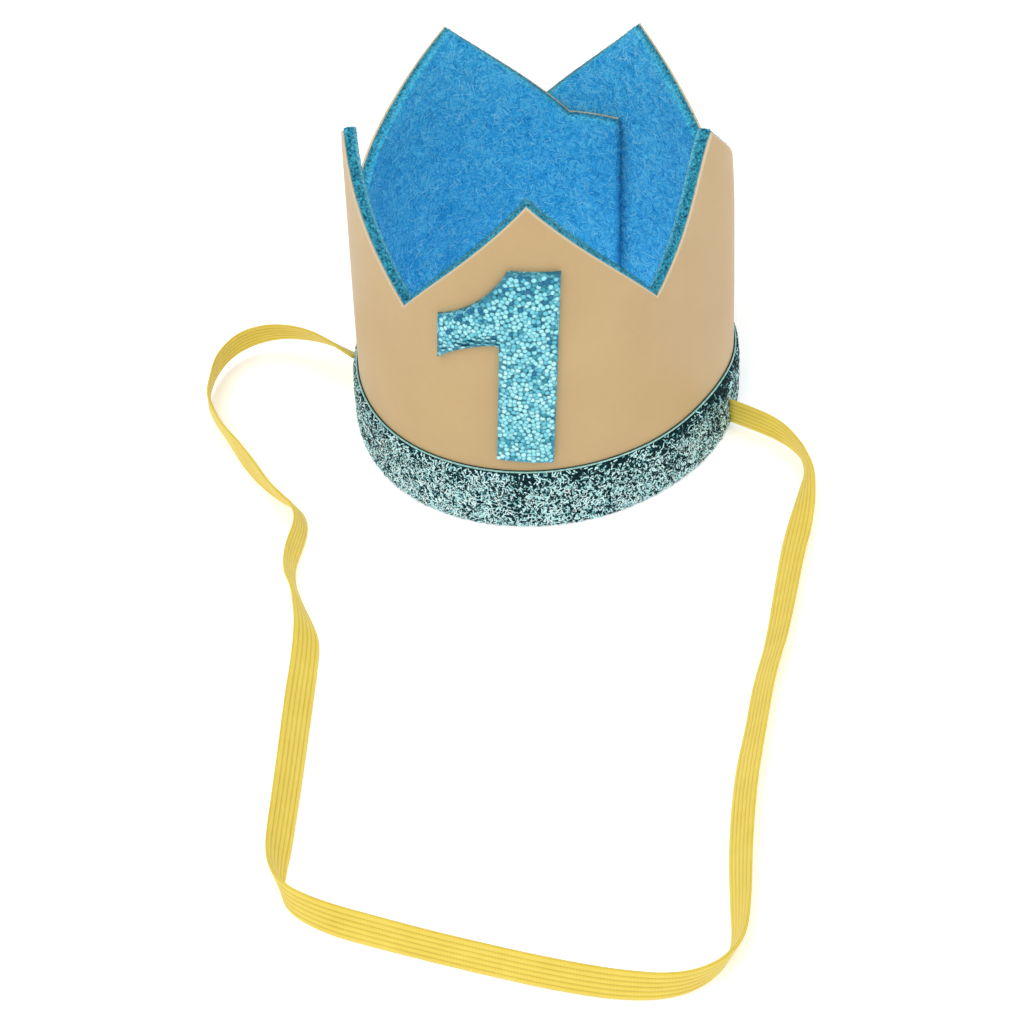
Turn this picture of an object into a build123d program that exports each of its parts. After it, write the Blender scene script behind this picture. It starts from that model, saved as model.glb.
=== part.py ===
# Child's birthday crown: a lined strip with five points, rolled into a ring whose ends lap at the back.
# The front, with the numeral, faces -Y; +Z is up; the ring stands on its lower edge at z = 0.
# Azimuths are degrees round Z from the front, positive towards +X.
import math
import os

from build123d import *

# Ring
ring_radius = 57.5             # mean radius of the outer face at the floor
crown_height = 99.4            # floor to the tip of the front point
valley_height = 63.8           # floor to the bottom of each notch
lean_in = 3.6                  # how far the wall leans in at the crown's height
upright_share = 0.2            # part of that lean which is missing on the left side
upright_azimuth = -95.0
flat_azimuths = (-129.0, -80.0, 54.0, 124.0)
flat_leans = (0.8, 0.8, 4.2, 1.5)  # how much further in the wall leans at those, at the crown's height
flat_pitch = 28.0              # degrees from the middle of such a stretch to its end
oval_share = 0.035             # the ring is a little oval
oval_azimuth = -15.7
corner_share = 0.015           # and has three very soft corners
corner_azimuth = -27.5

# Sheets of the strip
leather_thickness = 0.8
felt_thickness = 3.2

# Points and ends of the strip, from the inner end round the front to the outer end
point_azimuths = (-153.6, -77.6, -5.3, 69.5, 143.0)
point_height_shares = (0.981, 0.989, 1.0, 0.952, 0.970)
notch_azimuths = (-103.0, -41.5, 32.1, 106.3)
inner_half_pitch = 40.3        # degrees from the first point to the end of its slope
outer_half_pitch = 37.6        # degrees from the last point to the outer end
tab_run = 18.2                 # degrees of level tab past the inner end's slope
tab_height = 66.2              # floor to the tab's upper edge
lap_start_azimuth = -95.0      # where the inner end starts to draw in
lap_full_azimuth = -176.0      # where it lies fully inside the outer end
lap_standoff = 0.6             # room between the lapped ends
plan_step = 6.0                # degrees between the points that set out a curve

# Glitter ribbon round the base
trim_width = 19.0
trim_thickness = 1.4
selvedge_width = 1.2
selvedge_thickness = 0.8
trim_seam_azimuth = -177.5     # where the ribbon stops beside the lap

# Numeral
numeral_thickness = 1.5
numeral_height = 58.4
numeral_top_width = 13.2
numeral_foot_width = 15.2
numeral_neck_side = 8.0        # flag's inner corner from the stem's middle
numeral_flag_reach = 16.4      # flag's tip out from that corner
numeral_flag_depth = 12.9      # height of the flag's cut end
numeral_flag_drop = 7.8        # flag's lower edge falls this far from the stem to the tip
numeral_flag_sag = 1.6         # hollow of the flag's curved edges
numeral_notch_radius = 1.5     # inner corner between the flag and the stem
numeral_tilt = 3.9             # degrees that it leans to the right
numeral_azimuth = -8.0         # way that it faces
numeral_side = 2.1             # stem's middle to the right of that azimuth's line
numeral_lift = 23.0            # foot of the stem above the floor
numeral_neck_share = 0.63      # height of the flag's inner corner on the stem

# Flat elastic, 9 mm wide, lying in front of the crown
elastic_width = 9.0
elastic_thickness = 1.0
bend_share = 0.45              # part of a run that a bend may use
twist_start_share = 0.3        # a twist lies between these shares of its run
twist_end_share = 0.7
twist_steps = 3
elastic_route = [              # middle of the band, from the left side round to the right side
    (-54.6, 8.4, 10.0), (-61.8, 16.8, 10.0), (-70.6, 25.0, 9.0), (-82.0, 28.6, 8.0),
    (-92.6, 25.6, 7.0), (-99.4, 16.0, 6.0), (-101.0, 2.0, 5.0), (-95.4, -13.6, 4.6),
    (-85.6, -32.6, 4.6), (-74.0, -50.0, 4.6), (-71.6, -68.0, 4.6), (-69.0, -103.0, 0.5),
    (-69.6, -122.0, 0.5), (-71.2, -147.0, 0.5), (-72.8, -166.0, 0.5), (-71.6, -178.0, 0.5),
    (-63.6, -186.4, 0.5), (-48.0, -192.0, 0.5), (-24.0, -201.0, 0.5), (-2.0, -208.0, 0.5),
    (12.0, -210.4, 0.5), (23.6, -207.0, 0.5), (30.4, -197.4, 0.5), (32.8, -180.6, 0.5),
    (36.6, -160.6, 0.5), (43.6, -136.0, 0.5), (52.4, -110.6, 0.5), (58.0, -91.0, 0.5),
    (69.6, -56.0, 4.6), (71.0, -42.6, 4.8), (67.0, -33.0, 5.2), (60.0, -27.4, 5.6),
    (51.5, -23.2, 5.8),
]
left_twist_index = 10            # the band turns from standing to flat after this point
right_twist_index = 27           # and from flat to standing after this one

cut_reach = 16.0               # how far cutting shapes pass the wall on each side

front_azimuth = point_azimuths[2]
slope_end_azimuth = point_azimuths[0] - inner_half_pitch
inner_end_azimuth = slope_end_azimuth - tab_run
outer_end_azimuth = point_azimuths[-1] + outer_half_pitch
wall_thickness = leather_thickness + felt_thickness
cut_top = crown_height + cut_reach


def plan_radius(azimuth, height):
    # Outer face of the strip: an oval that leans in, with the inner end drawn in behind the outer one.
    oval = oval_share * math.cos(math.radians(2 * (azimuth - oval_azimuth)))
    corner = corner_share * math.cos(math.radians(3 * (azimuth - corner_azimuth)))
    along = (lap_start_azimuth - azimuth) / (lap_start_azimuth - lap_full_azimuth)
    along = min(max(along, 0), 1)
    draw_in = (wall_thickness + lap_standoff) * along * along * (3 - 2 * along)
    upright = max(math.cos(math.radians(azimuth - upright_azimuth)), 0) ** 2
    lean = lean_in * (1 - upright_share * upright)
    for middle, further in zip(flat_azimuths, flat_leans):
        beside = max(1 - ((azimuth - middle) / flat_pitch) ** 2, 0)
        lean += further * beside * beside
    narrowing = lean / ring_radius * height / crown_height
    return (ring_radius * (1 + oval + corner) - draw_in) * (1 - narrowing)


def polar(radius, azimuth, height):
    angle = math.radians(azimuth)
    return Vector(radius * math.sin(angle), -radius * math.cos(angle), height)


def plan_curve(start, end, offset, height):
    steps = round(abs(end - start) / plan_step)
    turns = [start + (end - start) * step / steps for step in range(steps + 1)]
    points = [polar(plan_radius(turn, height) + offset, turn, height) for turn in turns]
    return Edge.make_spline(points)


def strip(start, end, inner, outer, low, high):
    # A stretch of sheet between two offsets from the outer face, standing from low to high.
    outlines = []
    for height in (low, high):
        outside = plan_curve(start, end, outer, height)
        inside = plan_curve(end, start, inner, height)
        first_end = Edge.make_line(outside @ 1, inside @ 0)
        last_end = Edge.make_line(inside @ 1, outside @ 0)
        outlines.append(Wire([outside, first_end, inside, last_end]))
    return Solid.make_loft(outlines, ruled=True)


def wall_cut(first, last, first_height, last_height, top):
    # Block through the wall between two azimuths, with a sloping underside.
    outlines = []
    for radius in (ring_radius - cut_reach, ring_radius + cut_reach):
        corners = [
            polar(radius, first, first_height),
            polar(radius, last, last_height),
            polar(radius, last, top),
            polar(radius, first, top),
        ]
        outlines.append(Wire.make_polygon(corners))
    return Solid.make_loft(outlines, ruled=True)


def notch_cuts():
    # Cuts on both sides of each point, down to the notches between them.
    valleys = [slope_end_azimuth, *notch_azimuths, outer_end_azimuth]
    heights = [tab_height] + [valley_height] * len(point_azimuths)
    cuts = []
    for place, (azimuth, share) in enumerate(zip(point_azimuths, point_height_shares)):
        tip = crown_height * share
        cuts.append(wall_cut(valleys[place], azimuth, heights[place], tip, cut_top))
        cuts.append(wall_cut(azimuth, valleys[place + 1], tip, heights[place + 1], cut_top))
    return cuts


def pointed_sheet(inner, outer):
    # One sheet of the strip, cut to the five points. Its two halves meet at the front point's tip.
    cuts = notch_cuts()
    middle = 2 * point_azimuths.index(front_azimuth) + 1
    tab_end = inner_end_azimuth - tab_run
    tab_cut = wall_cut(tab_end, slope_end_azimuth, tab_height, tab_height, cut_top)
    left_half = strip(inner_end_azimuth, front_azimuth, inner, outer, 0, crown_height)
    right_half = strip(front_azimuth, outer_end_azimuth, inner, outer, 0, crown_height)
    for cut in [tab_cut] + cuts[:middle]:
        left_half = left_half - cut
    for cut in cuts[middle:]:
        right_half = right_half - cut
    return left_half + right_half


def ring_layer(thickness, low, high):
    # A layer on the outer face, all the way along the strip.
    left_half = strip(inner_end_azimuth, front_azimuth, 0, thickness, low, high)
    right_half = strip(front_azimuth, outer_end_azimuth, 0, thickness, low, high)
    return left_half, right_half


def glitter_trim():
    # Ribbon with a thinner woven selvedge along each edge.
    upper = trim_width - selvedge_width
    seam_cut = wall_cut(inner_end_azimuth - tab_run, trim_seam_azimuth, -cut_reach, -cut_reach, cut_top)
    levels = (
        (selvedge_thickness, 0, selvedge_width),
        (trim_thickness, selvedge_width, upper),
        (selvedge_thickness, upper, trim_width),
    )
    band = None
    for thickness, low, high in levels:
        left_half, right_half = ring_layer(thickness, low, high)
        ring = (left_half - seam_cut) + right_half
        band = ring if band is None else band + ring
    return band


def numeral():
    # The flat cut-out, pressed onto the outer face of the front point.
    half_height = numeral_height / 2
    neck = numeral_height * numeral_neck_share - half_height
    tip = -numeral_neck_side - numeral_flag_reach
    flag_low = neck - numeral_flag_drop
    flag_high = flag_low + numeral_flag_depth
    top_left = Vector(-numeral_top_width / 2, half_height)
    top_right = Vector(numeral_top_width / 2, half_height)
    foot_right = Vector(numeral_foot_width / 2, -half_height)
    foot_left = Vector(-numeral_foot_width / 2, -half_height)
    notch = Vector(-numeral_neck_side, neck)
    flag_bottom = Vector(tip, flag_low)
    flag_top = Vector(tip, flag_high)
    under = (notch + flag_bottom) / 2 + Vector(0, numeral_flag_sag)
    over = (flag_top + top_left) / 2 + Vector(numeral_flag_sag, -numeral_flag_sag)
    outline = Wire([
        Edge.make_line(top_left, top_right),
        Edge.make_line(top_right, foot_right),
        Edge.make_line(foot_right, foot_left),
        Edge.make_line(foot_left, notch),
        Edge.make_three_point_arc(notch, under, flag_bottom),
        Edge.make_line(flag_bottom, flag_top),
        Edge.make_three_point_arc(flag_top, over, top_left),
    ])
    face = Face(outline)
    inner_corner = face.vertices().sort_by_distance(notch)[0]
    face = face.fillet_2d(numeral_notch_radius, [inner_corner])
    outward = polar(ring_radius, numeral_azimuth, 0)
    sideways = Vector(-outward.Y, outward.X).normalized()
    middle = sideways * numeral_side + Vector(0, 0, numeral_lift + half_height)
    view = Plane(origin=middle, x_dir=sideways, z_dir=outward)
    placed = view * Rot(0, 0, -numeral_tilt) * face
    prism = extrude(placed, amount=ring_radius + cut_reach, dir=outward.normalized())
    left_half, right_half = ring_layer(numeral_thickness, 0, crown_height)
    return (left_half & prism) + (right_half & prism)


def bend_radii(points):
    radii = []
    for before, here, after in zip(points, points[1:], points[2:]):
        turn = (here - before).get_angle(after - here)
        shorter = min((here - before).length, (after - here).length)
        radii.append(bend_share * shorter / math.tan(math.radians(turn) / 2))
    return radii


def band_section(place, heading, turn):
    # Cross-section of the elastic: flat at 0 degrees, standing on its edge at 90.
    across = Vector(0, 0, 1).cross(heading).normalized()
    frame = Plane(origin=place, x_dir=across, z_dir=heading)
    return frame * Rot(0, 0, turn) * Rectangle(elastic_width, elastic_thickness)


def band_run(points, radii, turn):
    path = FilletPolyline(*points, radius=radii)
    section = band_section(path @ 0, path % 0, turn)
    return sweep(section, path).solids()[0], path.length


def resting_height(turn):
    # Middle of a band that touches the floor with its lowest corner.
    angle = math.radians(turn)
    return (elastic_width * math.sin(angle) + elastic_thickness * math.cos(angle)) / 2


def twist_ends(start, end, start_turn, end_turn):
    places = []
    for share, turn in ((twist_start_share, start_turn), (twist_end_share, end_turn)):
        place = start + (end - start) * share
        places.append(Vector(place.X, place.Y, resting_height(turn)))
    return places


def band_twist(start, end, start_turn, end_turn):
    heading = Vector(end.X - start.X, end.Y - start.Y)
    sections = []
    for step in range(twist_steps + 1):
        along = step / twist_steps
        turn = start_turn + (end_turn - start_turn) * along
        place = start + heading * along
        place = Vector(place.X, place.Y, resting_height(turn))
        sections.append(band_section(place, heading, turn).wire())
    twist = None
    for near, far in zip(sections, sections[1:]):
        piece = Solid.make_loft([near, far], ruled=True)
        twist = piece if twist is None else twist + piece
    return twist


def elastic(carrier):
    # Standing on edge at both sides of the crown, flat on the floor in front, with a quarter twist between.
    points = [Vector(*place) for place in elastic_route]
    radii = bend_radii(points)
    left_twist = twist_ends(*points[left_twist_index:left_twist_index + 2], 90, 0)
    right_twist = twist_ends(*points[right_twist_index:right_twist_index + 2], 0, 90)
    left_points = points[:left_twist_index + 1] + [left_twist[0]]
    flat_points = [left_twist[1]] + points[left_twist_index + 1:right_twist_index + 1] + [right_twist[0]]
    right_points = [right_twist[1]] + points[right_twist_index + 1:]
    left_run, left_length = band_run(left_points, radii[:left_twist_index], 90)
    flat_run, flat_length = band_run(flat_points, radii[left_twist_index:right_twist_index], 0)
    right_run, right_length = band_run(right_points, radii[right_twist_index:], 90)
    twists = band_twist(*left_twist, 90, 0), band_twist(*right_twist, 0, 90)
    length = left_length + flat_length + right_length
    length += (left_twist[1] - left_twist[0]).length + (right_twist[1] - right_twist[0]).length
    band = left_run + twists[0] + flat_run + twists[1] + right_run
    print("elastic length", round(length, 1), "volume", round(band.volume, 1))
    print("section times length", round(length * elastic_width * elastic_thickness, 1))
    print("bend radii", [round(radius, 1) for radius in radii])
    return band - carrier


leatherette_shell = pointed_sheet(-leather_thickness, 0)
felt_lining = pointed_sheet(-wall_thickness, -leather_thickness)
glitter_trim_band = glitter_trim()
numeral_one = numeral()
elastic_band = elastic(glitter_trim_band)

os.makedirs("parts", exist_ok=True)
export_step(leatherette_shell, "parts/leatherette_shell.step")
export_step(felt_lining, "parts/felt_lining.step")
export_step(glitter_trim_band, "parts/glitter_trim_band.step")
export_step(numeral_one, "parts/numeral_one.step")
export_step(elastic_band, "parts/elastic_band.step")
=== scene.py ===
import math

import bpy
import numpy as np
from mathutils import Matrix, Vector


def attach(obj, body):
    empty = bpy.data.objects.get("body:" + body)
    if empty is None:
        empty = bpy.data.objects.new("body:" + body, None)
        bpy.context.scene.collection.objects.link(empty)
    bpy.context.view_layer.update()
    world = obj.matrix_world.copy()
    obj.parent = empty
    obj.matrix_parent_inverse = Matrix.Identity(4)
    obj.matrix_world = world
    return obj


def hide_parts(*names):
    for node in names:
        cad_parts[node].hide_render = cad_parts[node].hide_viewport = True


# birthday crown: lined faux leather ring, glitter ribbon, glitter numeral and a loop of flat elastic
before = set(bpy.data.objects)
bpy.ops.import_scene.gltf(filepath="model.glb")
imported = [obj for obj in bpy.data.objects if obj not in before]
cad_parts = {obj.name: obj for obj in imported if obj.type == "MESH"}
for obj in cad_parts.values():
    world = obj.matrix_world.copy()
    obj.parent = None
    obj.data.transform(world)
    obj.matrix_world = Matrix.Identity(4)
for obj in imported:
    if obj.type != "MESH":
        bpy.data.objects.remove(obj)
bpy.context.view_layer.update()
scene = bpy.context.scene
scene.view_settings.view_transform = "Standard"
print("frame loaded:", sorted(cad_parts))


# camera at the photo's angle
cameraSet = {
    "place": (-0.0175, -0.4333, 0.3345),
    "forward": (0.0099, 0.7503, -0.6610),
    "up": (0.0627, 0.6593, 0.7493),
    "lens": 63.8,
    "sensor": 36.0,
}
back = -Vector(cameraSet["forward"]).normalized()
right = Vector(cameraSet["up"]).cross(back).normalized()
upward = back.cross(right)
camera = bpy.data.objects.new("camera", bpy.data.cameras.new("camera"))
camera.data.lens = cameraSet["lens"]
camera.data.sensor_width = cameraSet["sensor"]
camera.data.clip_start = 0.01
turned = Matrix((right, upward, back)).transposed().to_4x4()
camera.matrix_world = Matrix.Translation(cameraSet["place"]) @ turned
scene.collection.objects.link(camera)
scene.camera = camera


floorGap = 0.0001  # nothing reaches lower than this


def shade(red, green, blue):
    # 0-255 as seen on a screen, to the linear colour that a socket takes
    linear = []
    for value in (red, green, blue):
        value = value / 255
        linear.append(value / 12.92 if value <= 0.04045 else ((value + 0.055) / 1.055) ** 2.4)
    return (*linear, 1.0)


def meshPiece(name, points, faces, smooth=True):
    mesh = bpy.data.meshes.new(name)
    mesh.from_pydata([tuple(p) for p in points], [], [tuple(f) for f in faces])
    mesh.validate()
    if smooth:
        mesh.shade_smooth()
    mesh.update()
    piece = bpy.data.objects.new(name, mesh)
    scene.collection.objects.link(piece)
    return piece


def storeFloat(piece, name, values):
    layer = piece.data.attributes.new(name, "FLOAT", "POINT")
    layer.data.foreach_set("value", np.asarray(values, np.float32))


def storeUv(piece, uv):
    # uv is one pair per point
    layer = piece.data.uv_layers.new(name="UVMap")
    corners = np.zeros(len(piece.data.loops), np.int32)
    piece.data.loops.foreach_get("vertex_index", corners)
    layer.data.foreach_set("uv", np.asarray(uv, np.float32)[corners].ravel())


def gridFaces(columns, rows):
    # quads of a tube whose columns are loops, and its two ends
    faces = []
    for c in range(columns - 1):
        for r in range(rows):
            n = (r + 1) % rows
            faces.append((c * rows + r, (c + 1) * rows + r, (c + 1) * rows + n, c * rows + n))
    faces.append(tuple(range(rows)))
    faces.append(tuple(reversed(range((columns - 1) * rows, columns * rows))))
    return faces


def smooth01(x):
    x = np.clip(x, 0.0, 1.0)
    return x * x * (3 - 2 * x)


def node(tree, kind, **settings):
    made = tree.nodes.new(kind)
    for key, value in settings.items():
        setattr(made, key, value)
    return made


def link(tree, source, target):
    tree.links.new(source, target)


def ramp(tree, source, stops):
    made = node(tree, "ShaderNodeValToRGB")
    elements = made.color_ramp.elements
    while len(elements) < len(stops):
        elements.new(0.5)
    for element, (position, colour) in zip(elements, stops):
        element.position = position
        element.color = colour
    link(tree, source, made.inputs["Fac"])
    return made.outputs["Color"]


def blendColour(tree, fac, first, second):
    made = node(tree, "ShaderNodeMix", data_type="RGBA")
    for socket, value in zip((made.inputs[0], made.inputs[6], made.inputs[7]), (fac, first, second)):
        if isinstance(value, (int, float, tuple)):
            socket.default_value = value
        else:
            link(tree, value, socket)
    return made.outputs[2]


def maths(tree, operation, first, second=0.0, clamp=False):
    made = node(tree, "ShaderNodeMath", operation=operation, use_clamp=clamp)
    for socket, value in zip(made.inputs, (first, second)):
        if isinstance(value, (int, float)):
            socket.default_value = value
        else:
            link(tree, value, socket)
    return made.outputs[0]


def weigh(tree, sources, shares):
    # sum of the sockets, each times its share
    total = maths(tree, "MULTIPLY", sources[0], shares[0])
    for source, share in zip(sources[1:], shares[1:]):
        total = maths(tree, "ADD", total, maths(tree, "MULTIPLY", source, share))
    return total


def wave01(tree, source, pitch):
    # sine along a length, from 0 to 1
    wave = maths(tree, "SINE", maths(tree, "MULTIPLY", source, 2 * math.pi / pitch))
    return maths(tree, "MULTIPLY", maths(tree, "ADD", wave, 1.0), 0.5)


def addSocket(tree, name, kind, way="INPUT"):
    return tree.interface.new_socket(name=name, in_out=way, socket_type="NodeSocket" + kind)


def mottleGroup():
    # soft cloudy mask at a given size, from the piece's own coordinates
    tree = bpy.data.node_groups.new("mottle", "ShaderNodeTree")
    for name, value in (("Scale", 60.0), ("Detail", 4.0), ("Twirl", 0.5)):
        addSocket(tree, name, "Float").default_value = value
    addSocket(tree, "Mask", "Float", "OUTPUT")
    given = node(tree, "NodeGroupInput").outputs
    result = node(tree, "NodeGroupOutput")
    place = node(tree, "ShaderNodeTexCoord")
    cloud = node(tree, "ShaderNodeTexNoise")
    link(tree, place.outputs["Object"], cloud.inputs["Vector"])
    link(tree, given["Scale"], cloud.inputs["Scale"])
    link(tree, given["Detail"], cloud.inputs["Detail"])
    link(tree, given["Twirl"], cloud.inputs["Distortion"])
    link(tree, cloud.outputs["Fac"], result.inputs["Mask"])
    return tree


def strandGroup():
    # fine hair-like lines that swirl: noise ridges of a warped field
    tree = bpy.data.node_groups.new("strands", "ShaderNodeTree")
    for name, value in (("Scale", 260.0), ("Swirl", 0.006), ("Thin", 9.0)):
        addSocket(tree, name, "Float").default_value = value
    addSocket(tree, "Mask", "Float", "OUTPUT")
    given = node(tree, "NodeGroupInput")
    result = node(tree, "NodeGroupOutput")
    place = node(tree, "ShaderNodeTexCoord")
    warp = node(tree, "ShaderNodeTexNoise")
    warp.inputs["Scale"].default_value = 90.0
    warp.inputs["Detail"].default_value = 2.0
    link(tree, place.outputs["Object"], warp.inputs["Vector"])
    centred = node(tree, "ShaderNodeVectorMath", operation="SUBTRACT")
    centred.inputs[1].default_value = (0.5, 0.5, 0.5)
    link(tree, warp.outputs["Color"], centred.inputs[0])
    pushed = node(tree, "ShaderNodeVectorMath", operation="SCALE")
    link(tree, centred.outputs[0], pushed.inputs[0])
    link(tree, given.outputs["Swirl"], pushed.inputs["Scale"])
    moved = node(tree, "ShaderNodeVectorMath", operation="ADD")
    link(tree, place.outputs["Object"], moved.inputs[0])
    link(tree, pushed.outputs[0], moved.inputs[1])
    lines = node(tree, "ShaderNodeTexNoise")
    lines.inputs["Detail"].default_value = 3.0
    lines.inputs["Distortion"].default_value = 1.2
    link(tree, moved.outputs[0], lines.inputs["Vector"])
    link(tree, given.outputs["Scale"], lines.inputs["Scale"])
    ridge = maths(tree, "ABSOLUTE", maths(tree, "SUBTRACT", lines.outputs["Fac"], 0.5))
    thin = maths(tree, "MULTIPLY", ridge, given.outputs["Thin"])
    link(tree, maths(tree, "SUBTRACT", 1.0, thin, clamp=True), result.inputs["Mask"])
    return tree


mottle = mottleGroup()
strands = strandGroup()


def useGroup(tree, group, **values):
    made = node(tree, "ShaderNodeGroup")
    made.node_tree = group
    for key, value in values.items():
        made.inputs[key].default_value = value
    return made.outputs[0]


def newMaterial(name):
    material = bpy.data.materials.new(name)
    material.use_nodes = True
    tree = material.node_tree
    return material, tree, tree.nodes["Principled BSDF"]


def attributeFac(tree, name):
    return node(tree, "ShaderNodeAttribute", attribute_name=name).outputs["Fac"]


def bump(tree, surface, height, strength, distance):
    made = node(tree, "ShaderNodeBump")
    made.inputs["Strength"].default_value = strength
    made.inputs["Distance"].default_value = distance
    link(tree, height, made.inputs["Height"])
    link(tree, made.outputs[0], surface.inputs["Normal"])


# flat elastic; its route is the band's middle in metres with its turn in degrees, 0 flat and 90 on edge
elasticSet = {
    "width": 0.009,
    "thickness": 0.001,
    "ribs": 6,
    "ribDepth": 0.00016,
    "pick": 0.00072,
    "thread": 0.0003,
    # the ribs' share of the tone paints shade in the grooves between ribs, lighter on their crests
    "toneShares": (0.62, 0.4, 0.06),  # ribs, cloud, picks
    "bumpShares": (0.5, 0.35),  # picks, threads
    "light": shade(238, 215, 92),
    "mid": shade(227, 200, 70),
    "dark": shade(196, 164, 40),
    "route": [
        (-0.0547, 0.0089, 0.0100, 40), (-0.0588, 0.0133, 0.0100, 43), (-0.0634, 0.0180, 0.0100, 49),
        (-0.0705, 0.0239, 0.0096, 58), (-0.0815, 0.0281, 0.0088, 66), (-0.0924, 0.0256, 0.0076, 76),
        (-0.0987, 0.0165, 0.0066, 80), (-0.1006, 0.0064, 0.0056, 77), (-0.1002, -0.0026, 0.0050, 93),
        (-0.0952, -0.0145, 0.0046, 102), (-0.0896, -0.0253, 0.0047, 90), (-0.0850, -0.0339, 0.0047, 91),
        (-0.0785, -0.0443, 0.0045, 110), (-0.0742, -0.0486, 0.0044, 119), (-0.0712, -0.0535, 0.0045, 112),
        (-0.0706, -0.0608, 0.0047, 102), (-0.0732, -0.0716, 0.0047, 101), (-0.0730, -0.0798, 0.0046, 105),
        (-0.0709, -0.0858, 0.0046, 103), (-0.0687, -0.0945, 0.0044, 120), (-0.0675, -0.1010, 0.0041, 131),
        (-0.0679, -0.1116, 0.0039, 130), (-0.0688, -0.1235, 0.0039, 131), (-0.0703, -0.1493, 0.0041, 126),
        (-0.0716, -0.1673, 0.0042, 122), (-0.0720, -0.1737, 0.0045, 113), (-0.0714, -0.1790, 0.0047, 99),
        (-0.0696, -0.1832, 0.0047, 87), (-0.0660, -0.1866, 0.0047, 81), (-0.0594, -0.1904, 0.0046, 76),
        (-0.0512, -0.1938, 0.0046, 76), (-0.0373, -0.1993, 0.0047, 78), (-0.0240, -0.2041, 0.0047, 78),
        (-0.0118, -0.2083, 0.0047, 78), (0.0003, -0.2117, 0.0047, 80), (0.0070, -0.2128, 0.0047, 84),
        (0.0112, -0.2132, 0.0047, 88), (0.0162, -0.2129, 0.0047, 93), (0.0202, -0.2117, 0.0047, 98),
        (0.0238, -0.2097, 0.0046, 103), (0.0267, -0.2070, 0.0046, 106), (0.0288, -0.2041, 0.0046, 108),
        (0.0302, -0.2001, 0.0045, 111), (0.0314, -0.1924, 0.0044, 118), (0.0333, -0.1786, 0.0042, 124),
        (0.0361, -0.1642, 0.0040, 127), (0.0391, -0.1522, 0.0040, 129), (0.0429, -0.1399, 0.0041, 126),
        (0.0456, -0.1302, 0.0040, 127), (0.0484, -0.1219, 0.0040, 128), (0.0521, -0.1127, 0.0040, 129),
        (0.0604, -0.0839, 0.0036, 137), (0.0637, -0.0740, 0.0033, 142), (0.0670, -0.0638, 0.0037, 134),
        (0.0700, -0.0530, 0.0045, 113), (0.0709, -0.0457, 0.0048, 86), (0.0702, -0.0396, 0.0050, 75),
        (0.0662, -0.0322, 0.0053, 81), (0.0599, -0.0266, 0.0056, 84), (0.0524, -0.0213, 0.0058, 84),
    ],
    "exit": (-0.0551, 0.0090, 0.0100),
    "length": 0.562,
}


def routeLine(route):
    # points of a spline through the route, read back from Blender
    data = bpy.data.curves.new("elasticRoute", "CURVE")
    data.dimensions = "3D"
    spline = data.splines.new("NURBS")
    spline.points.add(len(route) - 1)
    for point, (x, y, z, _) in zip(spline.points, route):
        point.co = (x, y, z, 1.0)
    spline.order_u = 3
    spline.use_endpoint_u = True
    spline.resolution_u = 8
    carrier = bpy.data.objects.new("elasticRoute", data)
    scene.collection.objects.link(carrier)
    mesh = bpy.data.meshes.new_from_object(carrier)
    line = np.array([v.co for v in mesh.vertices])
    bpy.data.objects.remove(carrier)
    bpy.data.meshes.remove(mesh)
    return line


def bandSection(settings):
    # loop round the band: ribs on both faces, rounded edges; each entry is across, through, u
    half = settings["width"] / 2
    deep = settings["thickness"] / 2
    steps = settings["ribs"] * 6
    loop = []
    for side in (1, -1):
        for step in range(steps + 1):
            share = step / steps
            across = half * (1 - 2 * share) * 0.985
            ribWave = abs(math.sin(math.pi * settings["ribs"] * share))
            fall = min(1.0, min(share, 1 - share) * 14)
            through = (deep * 0.62 + settings["ribDepth"] * ribWave ** 0.6) * (0.55 + 0.45 * fall)
            loop.append((side * across, side * through, share))
    return loop


def makeElastic(settings):
    route = settings["route"]
    line = routeLine(route)
    corners = np.array([p[:3] for p in route])
    control = np.concatenate([[0], np.cumsum(np.linalg.norm(np.diff(corners, axis=0), axis=1))])
    along = np.concatenate([[0], np.cumsum(np.linalg.norm(np.diff(line, axis=0), axis=1))])
    turns = np.interp(along / along[-1], control / control[-1], [p[3] for p in route])
    soften = np.ones(5) / 5
    turns = np.convolve(np.pad(turns, 2, mode="edge"), soften, mode="valid")
    heading = np.gradient(line, axis=0)
    heading /= np.linalg.norm(heading, axis=1)[:, None]
    inward = np.cross((0, 0, 1), heading)
    inward /= np.linalg.norm(inward, axis=1)[:, None]
    lifted = np.cross(heading, inward)
    angle = np.radians(turns)[:, None]
    wide = inward * np.cos(angle) + lifted * np.sin(angle)
    deep = lifted * np.cos(angle) - inward * np.sin(angle)
    section = bandSection(settings)
    rows = len(section)
    points, uv = [], []
    for place, w, d, run in zip(line, wide, deep, along):
        for across, through, share in section:
            points.append(place + w * across + d * through)
            uv.append((run, share * settings["width"]))
    points = np.array(points)
    points[:, 2] = np.maximum(points[:, 2], floorGap)
    faces = gridFaces(len(line), rows)
    piece = meshPiece("elastic", points, [f[::-1] for f in faces])
    storeUv(piece, uv)
    return piece, line, along[-1]


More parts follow.
